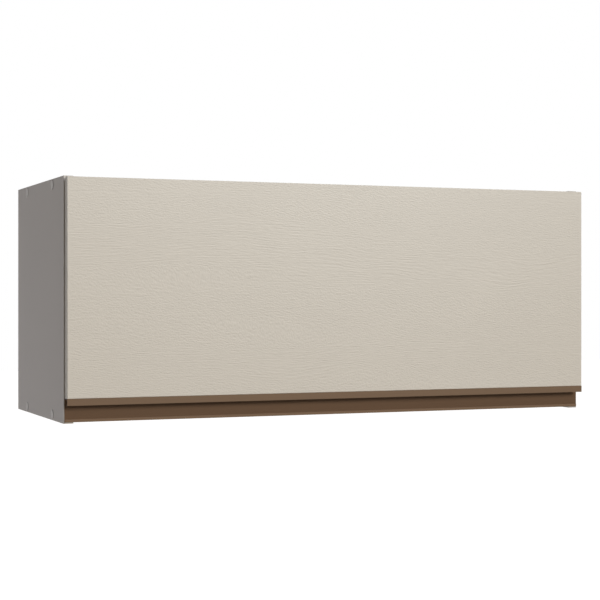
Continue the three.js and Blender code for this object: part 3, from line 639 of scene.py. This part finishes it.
def oak_relief():
    """The relief of a plain-sawn oak board whose grain runs along X."""
    group, given, result = new_group("oak relief", [("Vector", None)], ["Height", "Tone"])
    split = add_node(group, "SeparateXYZ", {0: given["Vector"]}).outputs

    # The lines of the grain wander up and down along the board.
    wander = noise(group, stretched(group, given["Vector"], (2.4, 1, 7), SWAY_SHIFT), detail=2.0)
    sway = maths(group, "MULTIPLY_ADD", wander, GRAIN_SWAY, split["Z"])
    along = add_node(group, "CombineXYZ", {0: split["X"], 2: sway}).outputs[0]

    # Its marks are short in some zones and long in others, and faint in the lenses.
    zone = noise(group, stretched(group, along, (0.7, 1, 15), ZONE_SHIFT))
    short = rows_of_marks(group, along, sway, SHORT_MARKS)
    long = rows_of_marks(group, along, sway, LONG_MARKS)
    calm = ranged(group, zone, 0.46, 0.6, smooth=True)
    short_part = maths(group, "MULTIPLY", short, ranged(group, calm, 0, 1, 1.0, 0.25))
    long_part = maths(group, "MULTIPLY", long, ranged(group, calm, 0, 1, 0.25, 0.9))
    lens = noise(group, stretched(group, along, (1.6, 1, 22), LENS_SHIFT))
    kept = ranged(group, lens, 0.65, 0.72, 1.0, 0.2, smooth=True)
    rows = maths(group, "MULTIPLY", maths(group, "ADD", short_part, long_part), kept)

    # Fine fibres lie over them, with thin sunk pores that are a little darker.
    fibres = noise(group, stretched(group, along, (160, 1, 900)))
    marks = maths(group, "MULTIPLY_ADD", fibres, 0.5, rows)
    pore = noise(group, stretched(group, along, (110, 1, 1700)))
    pore = ranged(group, pore, 0.6, 0.7, smooth=True)
    sunk = maths(group, "MULTIPLY_ADD", pore, -0.5, marks)
    tone = ranged(group, marks, -1.2, 1.2, 0.98, 1.02)
    group.links.new(sunk, result.inputs["Height"])
    group.links.new(maths(group, "MULTIPLY_ADD", pore, -0.03, tone), result.inputs["Tone"])
    return group


def oak_laminate():
    """Cream laminate with the relief of oak, a little glossier on its raised marks."""
    material, tree, shader, place = new_material("oak grained cream laminate", DOOR_CREAM, 0.5,
                                                 specular=0.12)
    oak = use_group(tree, oak_relief(), Vector=place)
    skin = use_group(tree, PRESSED_SKIN, Vector=place, Pearl=PEARL_A_METRE)
    tone = maths(tree, "MULTIPLY", oak["Tone"], skin["Tone"])
    tree.links.new(toned(tree, DOOR_CREAM, tone), shader.inputs["Base Color"])
    tree.links.new(ranged(tree, oak["Height"], -1, 1, 0.6, 0.48), shader.inputs["Roughness"])
    relief = maths(tree, "MULTIPLY_ADD", skin["Height"], 0.1, oak["Height"])
    bumped(tree, shader, relief, strength=1.0, distance=0.0001)
    return material


flattened(finish(copied("door_panel"), "door_board", oak_laminate(), "door", "door_board",
                 "door_panel", crease=50))

# ---------- Pull profile ----------
# A brown extrusion held in the door's lower edge by its tongue. Its thin lip is in
# line with the door's face, and it is open behind, for the fingers. Its sawn ends
# are painted dark, a painted shade that matches the dark hollow behind the lip.

PROFILE_BROWN = (0.202, 0.131, 0.0795, 1)
PROFILE_ROUGHNESS = 0.42
PROFILE_EDGE_RADIUS = 0.0003
SAW_CUT_PAINTED_SHADE = (0.03, 0.02, 0.0155, 1)


def saw_cut_with_painted_shade():
    """Painted shade: a dark colour for the shade in the hollow, over a saw blade's close, straight
    marks.
    """
    material, tree, shader, place = new_material("saw cut painted shade", SAW_CUT_PAINTED_SHADE, 0.6, specular=0.2)
    teeth = noise(tree, stretched(tree, place, (1, 2600, 300)), detail=2.0)
    tree.links.new(ranged(tree, teeth, 0.3, 0.7, 0.5, 0.7), shader.inputs["Roughness"])
    worn = shaded(SAW_CUT_PAINTED_SHADE, 1.4)
    tree.links.new(blended(tree, ranged(tree, teeth, 0.35, 0.7), SAW_CUT_PAINTED_SHADE, worn),
                   shader.inputs["Base Color"])
    bumped(tree, shader, teeth, strength=0.2, distance=0.0001)
    return material


profile_mesh = copied("pull_profile")
for face in profile_mesh.faces:
    if abs(face.normal.x) > 0.5:
        face.material_index = 1
extrusion = brown_finish("brown anodised extrusion", PROFILE_BROWN, PROFILE_ROUGHNESS)
profile = finish(profile_mesh, "pull_extrusion", extrusion, "door", "brown_profile",
                 "pull_profile")
profile.data.materials.append(saw_cut_with_painted_shade())
eased(profile, PROFILE_EDGE_RADIUS)

# ---------- Door bumpers ----------
# Two domes of clear silicone, glued to the door's back near its lower corners. They
# meet the front edges of the side panels.

BUMPER_SHADE = (0.86, 0.86, 0.84, 1)
BUMPER_DOME = ((1, 0.3), (0.94, 0.6), (0.78, 0.84), (0.5, 0.97))  # shares of radius, depth
BUMPER_STEPS = 32


def silicone():
    """Clear silicone, a little hazy from handling."""
    material, tree, shader, place = new_material("clear silicone", BUMPER_SHADE, 0.25)
    shader.inputs["Transmission Weight"].default_value = 0.55
    shader.inputs["IOR"].default_value = 1.41
    haze = noise(tree, place, 700.0, detail=2.0)
    tree.links.new(ranged(tree, haze, 0.3, 0.7, 0.2, 0.4), shader.inputs["Roughness"])
    return material


clear_silicone = silicone()
for name in SIDES:
    low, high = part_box(f"{name}_door_bumper")
    radius = (high.x - low.x) / 2
    depth = high.y - low.y
    dome = [(across * radius, up * depth) for across, up in BUMPER_DOME]
    bumper = turned([(0, 0), (radius, 0), *dome, (0, depth)], BUMPER_STEPS)
    stood(bumper, ((low.x + high.x) / 2, low.y, (low.z + high.z) / 2), (0, 1, 0))
    finish(bumper, f"{name}_bumper", clear_silicone, "door", "bumper_plastic",
           f"{name}_door_bumper")

# ---------- Hinges ----------
# A drawn steel cup is pressed into the door, and a hooked arm turns on its pin. The
# arm sits on a cross-shaped plate under the top panel, and its second screw sets the
# door's height. All is nickel-plated, and the pan-head screws have a cross recess.

NICKEL = (0.63, 0.625, 0.6, 1)
NICKEL_ROUGHNESS = 0.26
HINGE_EDGE_RADIUS = 0.0003
HEAD_STEPS = 24
HEAD_FLAT = 0.72  # the flat's share of the head's radius
HEAD_CURVE = ((0.88, 0.93), (0.97, 0.75), (1, 0.5), (1, 0))  # shares of radius, height
SHANK_TIP = 0.3
RECESS_ARM = 0.0019
RECESS_HALF_WIDTH = 0.00045
RECESS_DEPTH = 0.0011
ARM_UNDERSIDE = 0.3474
SETTING_SCREW_Y = -0.136
SETTING_HEAD_RADIUS = 0.003
SETTING_SCREW_LENGTH = 0.008


def cross_recess(bm, rim, level):
    """Closes a round rim of edges with a flat that has a cross sunk into it."""
    outline = []
    for quarter in range(4):
        turn = Matrix.Rotation(quarter * pi / 2, 4, "Z")
        for corner in ((RECESS_ARM, -RECESS_HALF_WIDTH), (RECESS_ARM, RECESS_HALF_WIDTH),
                       (RECESS_HALF_WIDTH, RECESS_HALF_WIDTH)):
            outline.append(bm.verts.new(turn @ Vector((*corner, level))))
    cross = bm.faces.new(outline)
    bmesh.ops.bridge_loops(bm, edges=rim + list(cross.edges))
    bmesh.ops.inset_individual(bm, faces=[cross], thickness=RECESS_HALF_WIDTH / 2,
                               depth=-RECESS_DEPTH)


def cross_screw(head_radius, head_height, shank_radius, length):
    """A pan-head screw that stands on Z, its head's seat at 0, its shank below."""
    bm = bmesh.new()
    radius, height = HEAD_FLAT * head_radius, head_height
    flat = bmesh.ops.create_circle(bm, segments=HEAD_STEPS, radius=radius)
    bmesh.ops.translate(bm, vec=(0, 0, height), verts=flat["verts"])
    rim = list(bm.edges)
    ring = rim
    sizes = [(head_radius * across, head_height * up) for across, up in HEAD_CURVE]
    sizes += [(shank_radius, 0), (shank_radius, shank_radius - length)]
    sizes += [(SHANK_TIP * shank_radius, -length)]
    for next_radius, next_height in sizes:
        made = bmesh.ops.extrude_edge_only(bm, edges=ring)["geom"]
        verts = [item for item in made if isinstance(item, bmesh.types.BMVert)]
        ring = [item for item in made if isinstance(item, bmesh.types.BMEdge)]
        ring = [edge for edge in ring if all(vert in verts for vert in edge.verts)]
        share = next_radius / radius
        bmesh.ops.scale(bm, vec=(share, share, 1), verts=verts)
        bmesh.ops.translate(bm, vec=(0, 0, next_height - height), verts=verts)
        radius, height = next_radius, next_height
    bmesh.ops.edgeloop_fill(bm, edges=ring)
    cross_recess(bm, rim, head_height)
    bmesh.ops.recalc_face_normals(bm, faces=bm.faces)
    return bm


def fitted_screw(node, piece_name, direction, body):
    """Puts a cross-head screw in a CAD screw's place, its head towards a direction."""
    low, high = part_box(node)
    axis = next(index for index in range(3) if direction[index])
    across = (axis + 1) % 3
    head_radius = (high[across] - low[across]) / 2
    head_height = head_radius / 2
    base = (low + high) / 2
    end = high if direction[axis] > 0 else low
    base[axis] = end[axis] - direction[axis] * head_height
    length = high[axis] - low[axis] - head_height
    bm = cross_screw(head_radius, head_height, head_radius / 2, length)
    finish(stood(bm, base, direction), piece_name, zinc, body, "screw_steel", node)


def steel_part(node, metal, body, slot, radius):
    """A CAD part in its own shape, with eased edges and a plated finish."""
    eased(finish(copied(node), f"{node}_steel", metal, body, slot, node), radius)


nickel = plated("nickel plated steel", NICKEL, NICKEL_ROUGHNESS)
for name in SIDES:
    for part, body in (("hinge_plate", "carcass"), ("hinge_arm", "carcass"), ("hinge_cup", "door")):
        steel_part(f"{name}_{part}", nickel, body, "hinge_steel", HINGE_EDGE_RADIUS)
    recoated(f"{name}_hinge_pin", nickel)
    fitted_screw(f"{name}_arm_screw", f"{name}_arm_fixing", (0, 0, -1), "carcass")
    arm_low, arm_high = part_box(f"{name}_hinge_arm")
    setting = cross_screw(SETTING_HEAD_RADIUS, SETTING_HEAD_RADIUS / 2, SETTING_HEAD_RADIUS / 2,
                          SETTING_SCREW_LENGTH)
    stood(setting, ((arm_low.x + arm_high.x) / 2, SETTING_SCREW_Y, ARM_UNDERSIDE), (0, 0, -1))
    finish(setting, f"{name}_arm_setting_screw", zinc, "carcass", "screw_steel")
    for number in (1, 2):
        fitted_screw(f"{name}_plate_screw_{number}", f"{name}_plate_fixing_{number}", (0, 0, -1),
                     "carcass")
        fitted_screw(f"{name}_cup_screw_{number}", f"{name}_cup_fixing_{number}", (0, 1, 0),
                     "door")

# ---------- Stays ----------
# A spring housing of grey plastic, screwed to each side panel, turns a pressed steel
# lever, whose link is riveted to a screwed bracket on the door's back. Lever and link
# fold with the door and hold it up. A screw in the housing's front sets the spring.

STAY_GREY = (0.42, 0.42, 0.41, 1)
STAY_GREY_ROUGHNESS = 0.5
STAY_STEEL = (0.56, 0.56, 0.55, 1)
STAY_STEEL_ROUGHNESS = 0.32
STAY_EDGE_RADIUS = 0.0004
HOUSING_EDGE_RADIUS = 0.0012
SEAM_FROM_FACE = 0.0052  # from the housing's face to the seam of its cover
SEAM_WIDTH = 0.0007
SEAM_DEPTH = 0.0006
BORE_REACH = 0.006  # the pivot's bore lies within this distance of its axis
MOUNTING_SCREW_AT = ((-0.046, 0.3105), (-0.046, 0.3415))
MOUNTING_SCREW_LENGTH = 0.026
TUNING_SCREW_LEVEL = 0.314
BRACKET_FOOT_THICKNESS = 0.0025
BRACKET_SCREW_SPACING = 0.018
SMALL_HEAD_RADIUS = 0.0036
SMALL_HEAD_HEIGHT = 0.0018
SMALL_SHANK_RADIUS = 0.0018
SMALL_SCREW_LENGTH = 0.0125


def seamed_housing(node, seam_x, pivot_y, pivot_z):
    """A housing with rounded edges and a thin seam where its cover meets its shell."""
    bm = copied(node)

    def clear_of_bore(place):
        """Whether a place on the housing lies away from the bore for the pivot pin."""
        return Vector((place.y - pivot_y, place.z - pivot_z)).length > BORE_REACH

    outline = [edge for edge in bm.edges if edge.calc_face_angle(0) > radians(30)
               and clear_of_bore((edge.verts[0].co + edge.verts[1].co) / 2)]
    bmesh.ops.bevel(bm, geom=outline, offset=HOUSING_EDGE_RADIUS, segments=3, profile=0.5,
                    affect="EDGES", material=-1, clamp_overlap=False)
    for step in (-SEAM_WIDTH / 2, SEAM_WIDTH / 2):
        bmesh.ops.bisect_plane(bm, geom=bm.verts[:] + bm.edges[:] + bm.faces[:],
                               plane_co=(seam_x + step, 0, 0), plane_no=(1, 0, 0))
    seam = [face for face in bm.faces if clear_of_bore(face.calc_center_median())
            and all(abs(vert.co.x - seam_x) < SEAM_WIDTH for vert in face.verts)]
    bmesh.ops.inset_region(bm, faces=seam, thickness=WELD, depth=-SEAM_DEPTH,
                           use_even_offset=True)
    return bm


def small_screw(piece_name, base, direction, length, body):
    """A small screw that only this script has, its head's seat on a point."""
    bm = cross_screw(SMALL_HEAD_RADIUS, SMALL_HEAD_HEIGHT, SMALL_SHANK_RADIUS, length)
    finish(stood(bm, base, direction), piece_name, zinc, body, "screw_steel")


housing_plastic = moulded("grey housing plastic", STAY_GREY, STAY_GREY_ROUGHNESS)
stay_steel = plated("stay steel", STAY_STEEL, STAY_STEEL_ROUGHNESS)
for name, side in SIDES.items():
    low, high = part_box(f"{name}_stay_housing")
    pin_low, pin_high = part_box(f"{name}_stay_pivot_pin")
    pivot = (pin_low + pin_high) / 2
    face_x = low.x if side > 0 else high.x
    housing = seamed_housing(f"{name}_stay_housing", face_x + side * SEAM_FROM_FACE, pivot.y,
                             pivot.z)
    flattened(finish(housing, f"{name}_spring_housing", housing_plastic, "carcass",
                     "stay_plastic", f"{name}_stay_housing"))
    for number, (y, z) in enumerate(MOUNTING_SCREW_AT, 1):
        small_screw(f"{name}_housing_screw_{number}", (face_x, y, z), (-side, 0, 0),
                    MOUNTING_SCREW_LENGTH, "carcass")
    small_screw(f"{name}_spring_screw", ((low.x + high.x) / 2, low.y, TUNING_SCREW_LEVEL),
                (0, -1, 0), SMALL_SCREW_LENGTH, "carcass")
    for part, body in (("stay_lever", f"{name}_stay_lever"), ("stay_link", f"{name}_stay_link"),
                       ("stay_door_bracket", "door")):
        steel_part(f"{name}_{part}", stay_steel, body, "stay_steel", STAY_EDGE_RADIUS)
    for part, body in (("stay_pivot_pin", "carcass"), ("stay_elbow_rivet", f"{name}_stay_lever"),
                       ("stay_door_rivet", "door")):
        steel_part(f"{name}_{part}", nickel, body, "stay_steel", HINGE_EDGE_RADIUS)
    low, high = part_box(f"{name}_stay_door_bracket")
    for number, end in enumerate((-1, 1), 1):
        level = (low.z + high.z) / 2 + end * BRACKET_SCREW_SPACING / 2
        base = ((low.x + high.x) / 2, low.y + BRACKET_FOOT_THICKNESS, level)
        small_screw(f"{name}_bracket_screw_{number}", base, (0, 1, 0), SMALL_SCREW_LENGTH, "door")
